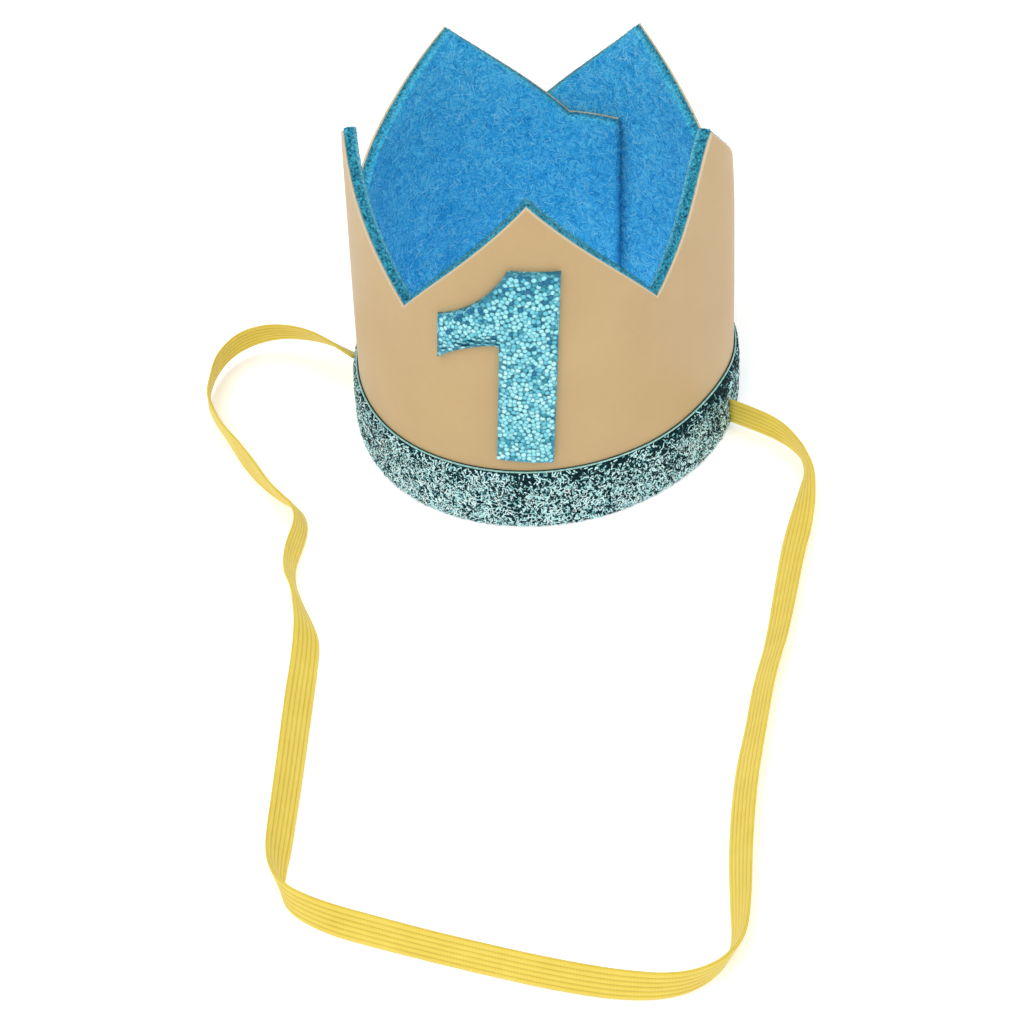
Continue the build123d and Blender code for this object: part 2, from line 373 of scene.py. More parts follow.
def elasticMaterial(settings):
    material, tree, surface = newMaterial("yellowElastic")
    uv = node(tree, "ShaderNodeUVMap")
    parts = node(tree, "ShaderNodeSeparateXYZ")
    link(tree, uv.outputs[0], parts.inputs[0])
    along, across = parts.outputs[0], parts.outputs[1]
    ribTurn = math.pi * settings["ribs"] / settings["width"]
    # rib tone: painted shade in the rib grooves, lighter on the crests
    ribWave = maths(tree, "SINE", maths(tree, "MULTIPLY", across, ribTurn))
    ribs = maths(tree, "POWER", maths(tree, "ABSOLUTE", ribWave), 0.5)
    picks = wave01(tree, along, settings["pick"])
    threads = wave01(tree, across, settings["thread"])
    cloud = useGroup(tree, mottle, Scale=140.0, Detail=5.0)
    tone = weigh(tree, (ribs, cloud, picks), settings["toneShares"])
    stops = [(0.22, settings["dark"]), (0.62, settings["mid"]), (0.95, settings["light"])]
    link(tree, ramp(tree, tone, stops), surface.inputs["Base Color"])
    surface.inputs["Roughness"].default_value = 0.72
    surface.inputs["Sheen Weight"].default_value = 0.25
    surface.inputs["Sheen Roughness"].default_value = 0.4
    bump(tree, surface, weigh(tree, (picks, threads), settings["bumpShares"]), 0.35, 0.00012)
    return material


elastic, elasticLine, elasticLength = makeElastic(elasticSet)
elastic.data.materials.append(elasticMaterial(elasticSet))
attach(elastic, "root")
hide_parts("elastic_band")
print("elastic made, length", round(elasticLength, 4), "triangles about", 2 * len(elastic.data.polygons))


# plan of the ring, the same as the solids have, and the unevenness of a hand-made one
ringSet = {
    "radius": 0.0575,
    "height": 0.0994,
    "valley": 0.0638,
    "leanIn": 0.0036,
    "oval": (0.035, -15.7),
    "corner": (0.015, -27.5),
    "leather": 0.0008,
    "felt": 0.0032,
    "upright": (0.2, -95.0),
    "flats": ((-129.0, 0.0008), (-80.0, 0.0008), (54.0, 0.0042), (124.0, 0.0015)),
    "flatPitch": 28.0,
    "points": (-153.6, -77.6, -5.3, 69.5, 143.0),
    "heights": (0.981, 0.989, 1.0, 0.952, 0.970),
    "notches": (-103.0, -41.5, 32.1, 106.3),
    "pitches": (40.3, 37.6),
    "tab": (18.2, 0.0662),
    "lap": (-95.0, -176.0, 0.0006),
    "endSlant": 1.6,
    "waveDepth": 0.00035,
    "tipBend": 0.0022,
    "tipStart": 0.066,
    "tipRun": 0.030,
    "tipSpread": 34.0,
}
slopeStart = ringSet["points"][0] - ringSet["pitches"][0]
innerEnd = slopeStart - ringSet["tab"][0]
outerEnd = ringSet["points"][-1] + ringSet["pitches"][1]


def ringRadius(azimuth, height):
    oval, ovalTurn = ringSet["oval"]
    corner, cornerTurn = ringSet["corner"]
    shape = 1 + oval * np.cos(np.radians(2 * (azimuth - ovalTurn)))
    shape = shape + corner * np.cos(np.radians(3 * (azimuth - cornerTurn)))
    lapStart, lapFull, standOff = ringSet["lap"]
    wall = ringSet["leather"] + ringSet["felt"]
    drawIn = (wall + standOff) * smooth01((lapStart - azimuth) / (lapStart - lapFull))
    share, side = ringSet["upright"]
    upright = share * np.maximum(np.cos(np.radians(azimuth - side)), 0) ** 2
    lean = ringSet["leanIn"] * (1 - upright)
    for middle, further in ringSet["flats"]:
        lean = lean + further * np.maximum(1 - ((azimuth - middle) / ringSet["flatPitch"]) ** 2, 0) ** 2
    narrowing = lean / ringSet["radius"] * height / ringSet["height"]
    return (ringSet["radius"] * shape - drawIn) * (1 - narrowing)


def ringWave(azimuth, height):
    # hand-made unevenness of the wall, and the right point's tip that curls in
    turn = np.radians(azimuth)
    up = height / ringSet["height"]
    wave = np.sin(turn * 5.0 + 0.7 + 1.8 * up) * 0.5 + np.sin(turn * 9.0 + 2.1 - 2.6 * up) * 0.3
    wave = wave * ringSet["waveDepth"] * smooth01(up * 2.2)
    near = smooth01(1 - np.abs(azimuth - ringSet["points"][3]) / ringSet["tipSpread"])
    curl = smooth01((height - ringSet["tipStart"]) / ringSet["tipRun"]) * near * ringSet["tipBend"]
    return wave - curl


def onRing(azimuth, height, offset):
    # offset is outwards from the leatherette's outer face
    r = ringRadius(azimuth, height) + ringWave(azimuth, height) + offset
    turn = np.radians(azimuth)
    return np.stack([r * np.sin(turn), -r * np.cos(turn), height + 0 * r], axis=-1)


def rimHeights():
    # azimuth and height at each corner of the cut upper edge
    corners = [(innerEnd, ringSet["tab"][1]), (slopeStart, ringSet["tab"][1])]
    notches = [*ringSet["notches"], outerEnd]
    for azimuth, share, notch in zip(ringSet["points"], ringSet["heights"], notches):
        corners.append((azimuth, share * ringSet["height"]))
        corners.append((notch, ringSet["valley"]))
    return corners


def rimStations(step, trimEnd):
    # azimuths along the strip with the height of the cut edge at each
    azimuths, heights = [], []
    corners = rimHeights()
    corners[0] = (innerEnd + trimEnd, corners[0][1])
    for (a, low), (b, high) in zip(corners, corners[1:]):
        count = max(2, round((b - a) / step))
        for k in range(count):
            here = a + (b - a) * k / count
            left = math.sin(math.radians(here - a))
            rest = math.sin(math.radians(b - here))
            azimuths.append(here)
            heights.append(low + (high - low) * left / (left + rest))
    azimuths.append(corners[-1][0])
    heights.append(corners[-1][1])
    return np.array(azimuths), np.array(heights)


def stripMesh(name, settings):
    # closed sheet: outer face up, rounded cut edge, inner face down
    azimuths, tops = rimStations(settings["step"], settings["trimEnd"])
    shares = np.concatenate([[0.0, 0.012], np.linspace(0.045, 0.955, settings["rows"]), [0.988]])
    outer, inner = settings["faces"]
    rimRound, edgeBand, innerEdge = settings["rimRound"], settings["edgeBand"], settings["innerEdge"]
    points, edge, lip = [], [], []
    middle = (outer + inner) / 2
    deep = (outer - inner) / 2
    # over the cut edge from the outer face to the inner one, with its colour masks in front and behind
    rimTurns = np.radians((80, 60, 35, 10, -10, -35, -60, -80))
    frontMask = np.array((1.0, 1.0, 1.0, 1.0, 1.0, 0.9, 0.7, innerEdge))
    rearMask = np.array((1.0, 1.0, 1.0, 0.9, 0.6, 0.4, 0.35, 0.2))
    frontLip = np.array((0.0, 0.0, 0.0, 0.0, 0.05, 0.9, 1.0, 0.6))
    rimDrop = np.where(rimTurns > 0, settings["outerDrop"], 1.0) * (1 - np.cos(rimTurns))
    for azimuth, top in zip(azimuths, tops):
        rear = smooth01((abs(azimuth) - 85) / 25) * settings["rearFade"]
        top = top + settings["rise"] * (1 - rear)
        rimMask = frontMask + (rearMask - frontMask) * rear
        body = shares * (top - rimRound)
        slant = ringSet["endSlant"] * smooth01(1 - (azimuth - innerEnd) / 10.0) * (1 - body / top)
        up = onRing(azimuth + slant, shares * (top - settings["outerDrop"] * rimRound), outer)
        down = onRing(azimuth + slant[::-1], body[::-1], inner)
        rimZ = top - rimRound * rimDrop
        rimOff = middle + deep * np.sign(rimTurns) * (1 - (1 - np.abs(np.sin(rimTurns))) ** 1.6)
        rim = np.array([onRing(azimuth, z, o) for z, o in zip(rimZ, rimOff)])
        points.extend([*up, *rim, *down])
        faceMask = smooth01((body - (top - edgeBand)) / edgeBand) * 0.55
        edge.extend([*faceMask, *rimMask, *(faceMask[::-1] * innerEdge * (1 - rear))])
        lip.extend([*(0 * shares), *(frontLip * (1 - rear)), *(0 * shares)])
    loop = 2 * len(shares) + len(rimTurns)
    piece = meshPiece(name, points, gridFaces(len(azimuths), loop))
    storeFloat(piece, "edgeMask", edge)
    inside = [*([0.0] * (len(shares) + len(rimTurns))), *([1.0] * len(shares))]
    storeFloat(piece, "hairMask", inside * len(azimuths))
    storeFloat(piece, "lipMask", lip)
    return piece


# golden outer sheet
leatherSet = {
    "light": shade(201, 172, 124),
    "mid": shade(196, 166, 118),
    "dark": shade(191, 160, 112),
    "cutEdge": shade(210, 191, 157),
    "roughness": 0.46,
    "toneShares": (0.8, 0.2),  # cloud, fine
    "bumpShares": (0.6, 1.2),  # pebble, cloud
    "strip": {
        "faces": (0.0, -0.0008), "step": 1.2, "rows": 26, "rimRound": 0.00035, "outerDrop": 1.0, "rise": 0.0,
        "edgeBand": 0.0006, "innerEdge": 1.0, "rearFade": 0.0, "trimEnd": 0.9,
    },
    "flat": (0.3870, 0.0994),
    "area": 0.0308,
}


def leatherMaterial(settings):
    material, tree, surface = newMaterial("tanLeatherette")
    cloud = useGroup(tree, mottle, Scale=28.0, Detail=3.0, Twirl=0.4)
    fine = useGroup(tree, mottle, Scale=420.0, Detail=3.0, Twirl=0.2)
    tone = weigh(tree, (cloud, fine), settings["toneShares"])
    stops = [(0.30, settings["dark"]), (0.5, settings["mid"]), (0.72, settings["light"])]
    cut = maths(tree, "POWER", attributeFac(tree, "edgeMask"), 4.0)
    colour = blendColour(tree, cut, ramp(tree, tone, stops), settings["cutEdge"])
    link(tree, colour, surface.inputs["Base Color"])
    rough = maths(tree, "ADD", maths(tree, "MULTIPLY", fine, 0.16), settings["roughness"] - 0.08)
    link(tree, rough, surface.inputs["Roughness"])
    pebble = node(tree, "ShaderNodeTexVoronoi", feature="SMOOTH_F1")
    place = node(tree, "ShaderNodeTexCoord")
    link(tree, place.outputs["Object"], pebble.inputs["Vector"])
    pebble.inputs["Scale"].default_value = 1500.0
    bump(tree, surface, weigh(tree, (pebble.outputs["Distance"], cloud), settings["bumpShares"]), 0.10, 0.0003)
    return material


leatherette = stripMesh("leatherette", leatherSet["strip"])
leatherette.data.materials.append(leatherMaterial(leatherSet))
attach(leatherette, "root")
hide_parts("leatherette_shell")
print("leatherette made, faces", len(leatherette.data.polygons))


# blue lining
feltSet = {
    "light": shade(112, 220, 253),
    "mid": shade(49, 188, 243),
    "dark": shade(22, 140, 207),
    "edgeLight": shade(72, 184, 208),
    "edgeMid": shade(34, 138, 170),
    "edgeDark": shade(6, 54, 80),
    "lip": shade(140, 222, 240),
    # the crease share is negative: painted shade along the creases
    "toneShares": (0.26, 0.44, 0.42, -0.10),  # hair, fine hair, cloud, crease
    "bumpShares": (0.5, 0.3, -0.9),  # hair, fine hair, crease
    "lipShare": 0.6,
    "strip": {
        "faces": (-0.0008, -0.0040), "step": 1.2, "rows": 26, "rimRound": 0.0009, "outerDrop": 0.2,
        "rise": 0.0008, "edgeBand": 0.0010, "innerEdge": 0.35, "rearFade": 1.0, "trimEnd": 0.0,
    },
    "flat": (0.3640, 0.0994),
    "area": 0.0290,
}


def feltMaterial(settings):
    material, tree, surface = newMaterial("blueFelt")
    hair = useGroup(tree, strands, Scale=300.0, Swirl=0.010, Thin=8.0)
    hairFine = useGroup(tree, strands, Scale=900.0, Swirl=0.004, Thin=6.0)
    cloud = useGroup(tree, mottle, Scale=70.0, Detail=4.0, Twirl=0.8)
    # crease lines: real folds in the bump, painted shade in the colour
    crease = useGroup(tree, strands, Scale=46.0, Swirl=0.014, Thin=24.0)
    tone = weigh(tree, (hair, hairFine, cloud, crease), settings["toneShares"])
    face = ramp(tree, tone, [(0.20, settings["dark"]), (0.46, settings["mid"]), (0.80, settings["light"])])
    fuzz = useGroup(tree, mottle, Scale=1500.0, Detail=2.0, Twirl=0.3)
    edgeStops = [(0.34, settings["edgeDark"]), (0.5, settings["edgeMid"]), (0.66, settings["edgeLight"])]
    colour = blendColour(tree, attributeFac(tree, "edgeMask"), face, ramp(tree, fuzz, edgeStops))
    lip = maths(tree, "MULTIPLY", attributeFac(tree, "lipMask"), settings["lipShare"])
    colour = blendColour(tree, lip, colour, settings["lip"])
    link(tree, colour, surface.inputs["Base Color"])
    surface.inputs["Roughness"].default_value = 0.92
    surface.inputs["Specular IOR Level"].default_value = 0.15
    surface.inputs["Sheen Weight"].default_value = 0.12
    surface.inputs["Sheen Roughness"].default_value = 0.5
    bump(tree, surface, weigh(tree, (hair, hairFine, crease), settings["bumpShares"]), 0.45, 0.0005)
    return material


felt = stripMesh("felt", feltSet["strip"])
felt.data.materials.append(feltMaterial(feltSet))
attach(felt, "root")
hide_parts("felt_lining")
print("felt made, faces", len(felt.data.polygons))


# glitter ribbon round the base
trimSet = {
    "width": 0.019,
    "thick": 0.0014,
    "seam": -177.5,
    "columns": 300,
    "lump": 0.00016,
    "seed": 11,
    # painted light on the left and at the foot, painted shade under the upper edge, stored as toneShift
    "paintedLightLeft": 0.13,
    "paintedLightFoot": 0.16,
    "paintedShadeTop": (0.10, 0.28),  # in front, and further at the sides
    "base": shade(6, 36, 44),
    "baseLight": shade(22, 72, 80),
    "lineDark": shade(120, 190, 186),
    "lineLight": shade(196, 230, 218),
    "flat": (0.0190, 0.3640),
}


def trimProfile(settings):
    # outside of the ribbon from the floor up, as offset, height, glitter mask, pale line mask
    width, thick = settings["width"], settings["thick"]
    profile = [(0.0, 0.0, 0, 0), (0.0006, 0.0001, 0.6, 0), (0.0008, 0.0003, 1, 0)]
    for k in range(21):
        share = k / 20
        z = 0.0006 + (width - 0.0006 - 0.0013) * share
        puff = 1 - (2 * share - 1) ** 6
        profile.append((thick * (0.62 + 0.38 * puff), z, 1, 0))
    # groove without glitter, its dark ground a painted shadow line, then the pale woven edge, then a dark top
    # row, painted shadow at the joint with the leatherette
    profile += [
        (0.0006, width - 0.0011, 0.5, 0), (0.0004, width - 0.0009, 0, 0), (0.0004, width - 0.0006, 0, 0),
        (0.0006, width - 0.00050, 0, 1), (0.0008, width - 0.00030, 0, 1), (0.0006, width - 0.00012, 0, 1),
        (0.0003, width - 0.00006, 0, 0), (0.0, width, 0, 0),
    ]
    return np.array(profile, float)


def makeTrim(settings):
    profile = trimProfile(settings)
    count, rows = settings["columns"], len(profile)
    azimuths = np.linspace(settings["seam"], outerEnd, count)
    points, glitter, pale = [], [], []
    rng = np.random.default_rng(settings["seed"])
    lump = rng.normal(size=(count, rows))
    for axis in (0, 1):
        lump = (np.roll(lump, 1, axis) + 2 * lump + np.roll(lump, -1, axis)) / 4
    for c, azimuth in enumerate(azimuths):
        offset = profile[:, 0] + lump[c] * settings["lump"] * profile[:, 2]
        points.extend(onRing(azimuth, profile[:, 1], np.minimum(offset, settings["thick"])))
        glitter.extend(profile[:, 2])
        pale.extend(profile[:, 3])
    piece = meshPiece("glitterTrim", points, gridFaces(count, rows))
    storeFloat(piece, "glitterMask", glitter)
    storeFloat(piece, "paleMask", pale)
    # painted light and shade: lighter on the left and at the foot, darker under the upper edge, more so at the
    # sides and most on the right
    up = profile[:, 1] / settings["width"]
    high = smooth01((up - 0.62) / 0.25)
    low = smooth01((0.22 - up) / 0.2)
    sides = smooth01((np.abs(azimuths + 5) - 22) / 30) * np.where(azimuths < 0, 0.35, 1.0)
    lit = settings["paintedLightLeft"] * smooth01((-azimuths - 12) / 24)
    front, further = settings["paintedShadeTop"]
    shift = lit[:, None] + settings["paintedLightFoot"] * low[None, :] - np.outer(front + further * sides, high)
    storeFloat(piece, "toneShift", shift.ravel())
    return piece


def trimMaterial(settings):
    material, tree, surface = newMaterial("trimCloth")
    cloud = useGroup(tree, mottle, Scale=260.0, Detail=5.0, Twirl=0.6)
    colour = ramp(tree, cloud, [(0.35, settings["base"]), (0.68, settings["baseLight"])])
    thread = useGroup(tree, mottle, Scale=1400.0, Detail=2.0)
    edge = ramp(tree, thread, [(0.3, settings["lineDark"]), (0.7, settings["lineLight"])])
    colour = blendColour(tree, attributeFac(tree, "paleMask"), colour, edge)
    link(tree, colour, surface.inputs["Base Color"])
    surface.inputs["Roughness"].default_value = 0.7
    surface.inputs["Specular IOR Level"].default_value = 0.1
    bump(tree, surface, thread, 0.4, 0.0002)
    return material


trim = makeTrim(trimSet)
trim.data.materials.append(trimMaterial(trimSet))
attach(trim, "root")
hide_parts("glitter_trim_band")
print("trim made, faces", len(trim.data.polygons))


# numeral: a copy of the cut-out's mesh, merged and moved with the wall's unevenness
numeralSet = {
    "base": shade(26, 94, 118),
    "stops": [
        (0.0, shade(34, 118, 148)), (0.4, shade(62, 154, 180)),
        (0.7, shade(96, 188, 210)), (1.0, shade(134, 216, 232)),
    ],
    "cell": 0.0012,
    "front": 0.0008,  # further out than this is the front face
    "tone": (0.06, 0.26, 0.050, 0.032),  # at the foot, fall to the top, height where it starts, run
    "flat": (0.0320, 0.0584),
    "area": 0.00110,
}


def makeNumeral(settings):
    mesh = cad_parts["numeral_one"].data.copy()
    mesh.name = "numeral"
    mesh.materials.clear()
    piece = bpy.data.objects.new("numeral", mesh)
    scene.collection.objects.link(piece)
    weld = piece.modifiers.new("weld", "WELD")
    weld.merge_threshold = 0.00001
    depsgraph = bpy.context.evaluated_depsgraph_get()
    welded = bpy.data.meshes.new_from_object(piece.evaluated_get(depsgraph))
    piece.modifiers.remove(weld)
    piece.data = welded
    co = np.array([v.co for v in welded.vertices])
    azimuths = np.degrees(np.arctan2(co[:, 0], -co[:, 1]))
    shift = ringWave(azimuths, co[:, 2])
    turn = np.radians(azimuths)
    co[:, 0] += shift * np.sin(turn)
    co[:, 1] -= shift * np.cos(turn)
    welded.vertices.foreach_set("co", co.astype(np.float32).ravel())
    welded.update()
    offset = np.hypot(co[:, 0], co[:, 1]) - ringRadius(azimuths, co[:, 2]) - shift
    storeFloat(piece, "glitterMask", (offset > settings["front"]).astype(float))
    foot, fall, start, run = settings["tone"]
    storeFloat(piece, "toneShift", foot - fall * smooth01((co[:, 2] - start) / run))
    return piece


def numeralMaterial(settings):
    material, tree, surface = newMaterial("numeralSheet")
    place = node(tree, "ShaderNodeTexCoord")
    cells = node(tree, "ShaderNodeTexVoronoi")
    gaps = node(tree, "ShaderNodeTexVoronoi", feature="DISTANCE_TO_EDGE")
    for texture in (cells, gaps):
        texture.inputs["Scale"].default_value = 1 / settings["cell"]
        link(tree, place.outputs["Object"], texture.inputs["Vector"])
    pick = node(tree, "ShaderNodeSeparateColor")
    link(tree, cells.outputs["Color"], pick.inputs[0])
    colour = ramp(tree, pick.outputs[0], settings["stops"])
    # dark gaps between the cells: the sheet's dark ground, and painted shade between flakes
    gap = maths(tree, "SUBTRACT", 1.0, maths(tree, "MULTIPLY", gaps.outputs["Distance"], 14.0), clamp=True)
    colour = blendColour(tree, gap, colour, settings["base"])
    link(tree, colour, surface.inputs["Base Color"])
    surface.inputs["Roughness"].default_value = 0.45
    surface.inputs["Metallic"].default_value = 0.2
    bump(tree, surface, pick.outputs[1], 0.3, 0.0003)
    return material


numeral = makeNumeral(numeralSet)
numeral.data.materials.append(numeralMaterial(numeralSet))
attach(numeral, "root")
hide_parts("numeral_one")
print("numeral made, faces", len(numeral.data.polygons))


def randomFloat(tree, low, high, seed, kind="FLOAT"):
    made = node(tree, "FunctionNodeRandomValue", data_type=kind)
    first = 0 if kind == "FLOAT_VECTOR" else 2
    for socket, value in ((made.inputs[first], low), (made.inputs[first + 1], high)):
        if isinstance(value, (int, float, tuple)):
            socket.default_value = value
        else:
            link(tree, value, socket)
    made.inputs["Seed"].default_value = seed
    return made.outputs[0 if kind == "FLOAT_VECTOR" else 1]


def flakeShape(tree):
    # small disc that knows how near its rim a point is
    flake = node(tree, "GeometryNodeMeshCircle", fill_type="TRIANGLE_FAN")
    flake.inputs["Vertices"].default_value = 7
    flake.inputs["Radius"].default_value = 0.5
    place = node(tree, "GeometryNodeInputPosition")
    reach = node(tree, "ShaderNodeVectorMath", operation="LENGTH")
    link(tree, place.outputs[0], reach.inputs[0])
    rim = node(tree, "GeometryNodeStoreNamedAttribute", data_type="FLOAT", domain="POINT")
    rim.inputs["Name"].default_value = "rim"
    link(tree, flake.outputs["Mesh"], rim.inputs["Geometry"])
    link(tree, maths(tree, "MULTIPLY", reach.outputs["Value"], 2.0), rim.inputs["Value"])
    return rim.outputs[0]


def strandShape(tree, given):
    # narrow strip, bent sideways
    strip = node(tree, "GeometryNodeMeshGrid")
    strip.inputs["Vertices X"].default_value = 2
    link(tree, given["Steps"], strip.inputs["Vertices Y"])
    place = node(tree, "GeometryNodeInputPosition")
    parts = node(tree, "ShaderNodeSeparateXYZ")
    link(tree, place.outputs[0], parts.inputs[0])
    away = maths(tree, "POWER", maths(tree, "ABSOLUTE", parts.outputs[1]), 2.0)
    push = node(tree, "ShaderNodeCombineXYZ")
    link(tree, maths(tree, "MULTIPLY", away, given["Bend"]), push.inputs[0])
    bent = node(tree, "GeometryNodeSetPosition")
    link(tree, strip.outputs["Mesh"], bent.inputs["Geometry"])
    link(tree, push.outputs[0], bent.inputs["Offset"])
    return bent.outputs["Geometry"]


def offTheCutEdge(tree, given, mask):
    # true where the mask's own border is far enough away
    sides = node(tree, "GeometryNodeSeparateGeometry", domain="FACE")
    sideFace = node(tree, "FunctionNodeCompare", data_type="FLOAT", operation="LESS_THAN")
    link(tree, mask, sideFace.inputs[0])
    sideFace.inputs[1].default_value = 0.75
    link(tree, given["Geometry"], sides.inputs["Geometry"])
    link(tree, sideFace.outputs[0], sides.inputs["Selection"])
    near = node(tree, "GeometryNodeProximity", target_element="FACES")
    link(tree, sides.outputs["Selection"], near.inputs[0])
    inside = node(tree, "FunctionNodeCompare", data_type="FLOAT", operation="GREATER_EQUAL")
    link(tree, near.outputs["Distance"], inside.inputs[0])
    link(tree, given["Keep"], inside.inputs[1])
    return inside.outputs[0]


def randomTurn(tree, given, rotation):
    # any way round on the surface, and a little off it
    lowTilt = node(tree, "ShaderNodeCombineXYZ")
    highTilt = node(tree, "ShaderNodeCombineXYZ")
    highTilt.inputs[2].default_value = 2 * math.pi
    for axis in (0, 1):
        link(tree, maths(tree, "MULTIPLY", given["Tilt"], -1.0), lowTilt.inputs[axis])
        link(tree, given["Tilt"], highTilt.inputs[axis])
    tilt = randomFloat(tree, lowTilt.outputs[0], highTilt.outputs[0], 3, "FLOAT_VECTOR")
    turn = node(tree, "FunctionNodeEulerToRotation")
    link(tree, tilt, turn.inputs[0])
    aligned = node(tree, "FunctionNodeRotateRotation", rotation_space="LOCAL")
    link(tree, rotation, aligned.inputs[0])
    link(tree, turn.outputs[0], aligned.inputs[1])
    return aligned.outputs[0]


def scatterTree(name, shape, widths, lengths):
    # small shapes over a mesh where a mask allows, each with its own tone
    tree = bpy.data.node_groups.new(name, "GeometryNodeTree")
    addSocket(tree, "Geometry", "Geometry")
    addSocket(tree, "Mask", "String")
    for title in ("Density", "Spacing", "Length", "Width", "Tilt", "Lift", "Bend", "Keep"):
        addSocket(tree, title, "Float")
    for title in ("Seed", "Steps"):
        addSocket(tree, title, "Int")
    addSocket(tree, "Material", "Material")
    addSocket(tree, "Geometry", "Geometry", "OUTPUT")
    given = node(tree, "NodeGroupInput").outputs
    result = node(tree, "NodeGroupOutput")
    named = node(tree, "GeometryNodeInputNamedAttribute", data_type="FLOAT")
    link(tree, given["Mask"], named.inputs["Name"])
    mask = named.outputs["Attribute"]
    method = "POISSON" if shape == "flake" else "RANDOM"
    spread = node(tree, "GeometryNodeDistributePointsOnFaces", distribute_method=method)
    copies = node(tree, "GeometryNodeInstanceOnPoints")
    link(tree, given["Geometry"], spread.inputs["Mesh"])
    link(tree, given["Seed"], spread.inputs["Seed"])
    if shape == "flake":
        link(tree, given["Spacing"], spread.inputs["Distance Min"])
        link(tree, given["Density"], spread.inputs["Density Max"])
        link(tree, mask, spread.inputs["Density Factor"])
        link(tree, flakeShape(tree), copies.inputs["Instance"])
        link(tree, offTheCutEdge(tree, given, mask), copies.inputs["Selection"])
    else:
        link(tree, maths(tree, "MULTIPLY", mask, given["Density"]), spread.inputs["Density"])
        link(tree, strandShape(tree, given), copies.inputs["Instance"])
    size = node(tree, "ShaderNodeCombineXYZ")
    link(tree, maths(tree, "MULTIPLY", randomFloat(tree, *widths, 5), given["Width"]), size.inputs[0])
    link(tree, maths(tree, "MULTIPLY", randomFloat(tree, *lengths, 6), given["Length"]), size.inputs[1])
    size.inputs[2].default_value = 1.0
    link(tree, spread.outputs["Points"], copies.inputs["Points"])
    link(tree, randomTurn(tree, given, spread.outputs["Rotation"]), copies.inputs["Rotation"])
    link(tree, size.outputs[0], copies.inputs["Scale"])
    raised = node(tree, "GeometryNodeTranslateInstances")
    drift = node(tree, "ShaderNodeCombineXYZ")
    link(tree, maths(tree, "MULTIPLY", randomFloat(tree, 0.4, 1.0, 7), given["Lift"]), drift.inputs[2])
    link(tree, copies.outputs[0], raised.inputs["Instances"])
    link(tree, drift.outputs[0], raised.inputs["Translation"])
    tone = node(tree, "GeometryNodeStoreNamedAttribute", data_type="FLOAT", domain="INSTANCE")
    tone.inputs["Name"].default_value = "tone"
    link(tree, raised.outputs[0], tone.inputs["Geometry"])
    link(tree, randomFloat(tree, 0.0, 1.0, 9), tone.inputs["Value"])
    real = node(tree, "GeometryNodeRealizeInstances")
    link(tree, tone.outputs[0], real.inputs[0])
    finish = node(tree, "GeometryNodeSetMaterial")
    link(tree, real.outputs[0], finish.inputs["Geometry"])
    link(tree, given["Material"], finish.inputs["Material"])
    link(tree, finish.outputs[0], result.inputs[0])
    return tree


flakeTree = scatterTree("flakes", "flake", widths=(0.92, 1.08), lengths=(0.92, 1.08))
strandTree = scatterTree("fibres", "strand", widths=(0.75, 1.25), lengths=(0.6, 1.3))


def scatter(base, tree, name, material, values):
    modifier = base.modifiers.new(name, "NODES")
    modifier.node_group = tree
    values = {**values, "Material": material}
    for item in tree.interface.items_tree:
        if item.item_type == "SOCKET" and item.in_out == "INPUT" and item.name in values:
            modifier[item.identifier] = values[item.name]
    depsgraph = bpy.context.evaluated_depsgraph_get()
    evaluated = base.evaluated_get(depsgraph)
    mesh = bpy.data.meshes.new_from_object(evaluated, preserve_all_data_layers=True, depsgraph=depsgraph)
    base.modifiers.remove(modifier)
    mesh.name = name
    co = np.zeros(3 * len(mesh.vertices), np.float32)
    mesh.vertices.foreach_get("co", co)
    co[2::3] = np.maximum(co[2::3], floorGap)
    mesh.vertices.foreach_set("co", co)
    mesh.update()
    piece = bpy.data.objects.new(name, mesh)
    scene.collection.objects.link(piece)
    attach(piece, "root")
    print(name, "scattered, faces", len(mesh.polygons))
    return piece


def glitterMaterial(name, settings):
    # each bit's own tone, shifted in patches, to a colour; flakes have a dark rim, the dark ground between
    # them and painted shade where they overlap
    material, tree, surface = newMaterial(name)
    patchScale, patchShare = settings["patch"]
    patch = useGroup(tree, mottle, Scale=patchScale, Detail=2.0, Twirl=0.4)
    patch = maths(tree, "MULTIPLY", maths(tree, "SUBTRACT", patch, 0.5), patchShare)
    tone = maths(tree, "ADD", attributeFac(tree, "tone"), patch)
    # toneShift: painted light and shade on the trim, a fall towards the top on the numeral
    tone = maths(tree, "ADD", tone, attributeFac(tree, "toneShift"), clamp=True)
    colour = ramp(tree, tone, settings["stops"])
    # dark rim: painted shade where flakes overlap, and the dark ground between them
    if "rim" in settings:
        rim = maths(tree, "POWER", attributeFac(tree, "rim"), settings["rimPower"], clamp=True)
        colour = blendColour(tree, maths(tree, "MULTIPLY", rim, 0.95), colour, settings["rim"])
    link(tree, colour, surface.inputs["Base Color"])
    surface.inputs["Metallic"].default_value = settings["metallic"]
    surface.inputs["Specular IOR Level"].default_value = settings["specular"]
    surface.inputs["Roughness"].default_value = settings["roughness"]
    return material


tinselSet = {
    # hard step from dark to bright strands: the bright ones are painted glints of the lamp on the foil, the
    # rest dark
    "stops": [
        (0.0, shade(6, 38, 46)), (0.37, shade(12, 56, 64)), (0.42, shade(104, 182, 190)),
        (0.50, shade(188, 244, 248)), (1.0, shade(232, 255, 255)),
    ],
    "patch": (110.0, 0.9),
    "metallic": 0.1,
    "roughness": 0.5,
    "specular": 0.1,
    "scatter": {
        "Mask": "glitterMask", "Density": 3.8e6, "Seed": 4, "Length": 0.0012, "Width": 0.00031,
        "Tilt": 0.4, "Lift": 0.00030, "Bend": 0.3, "Steps": 3,
    },
}
tinselFoil = glitterMaterial("tinselFoil", tinselSet)
tinsel = scatter(trim, strandTree, "tinsel", tinselFoil, tinselSet["scatter"])

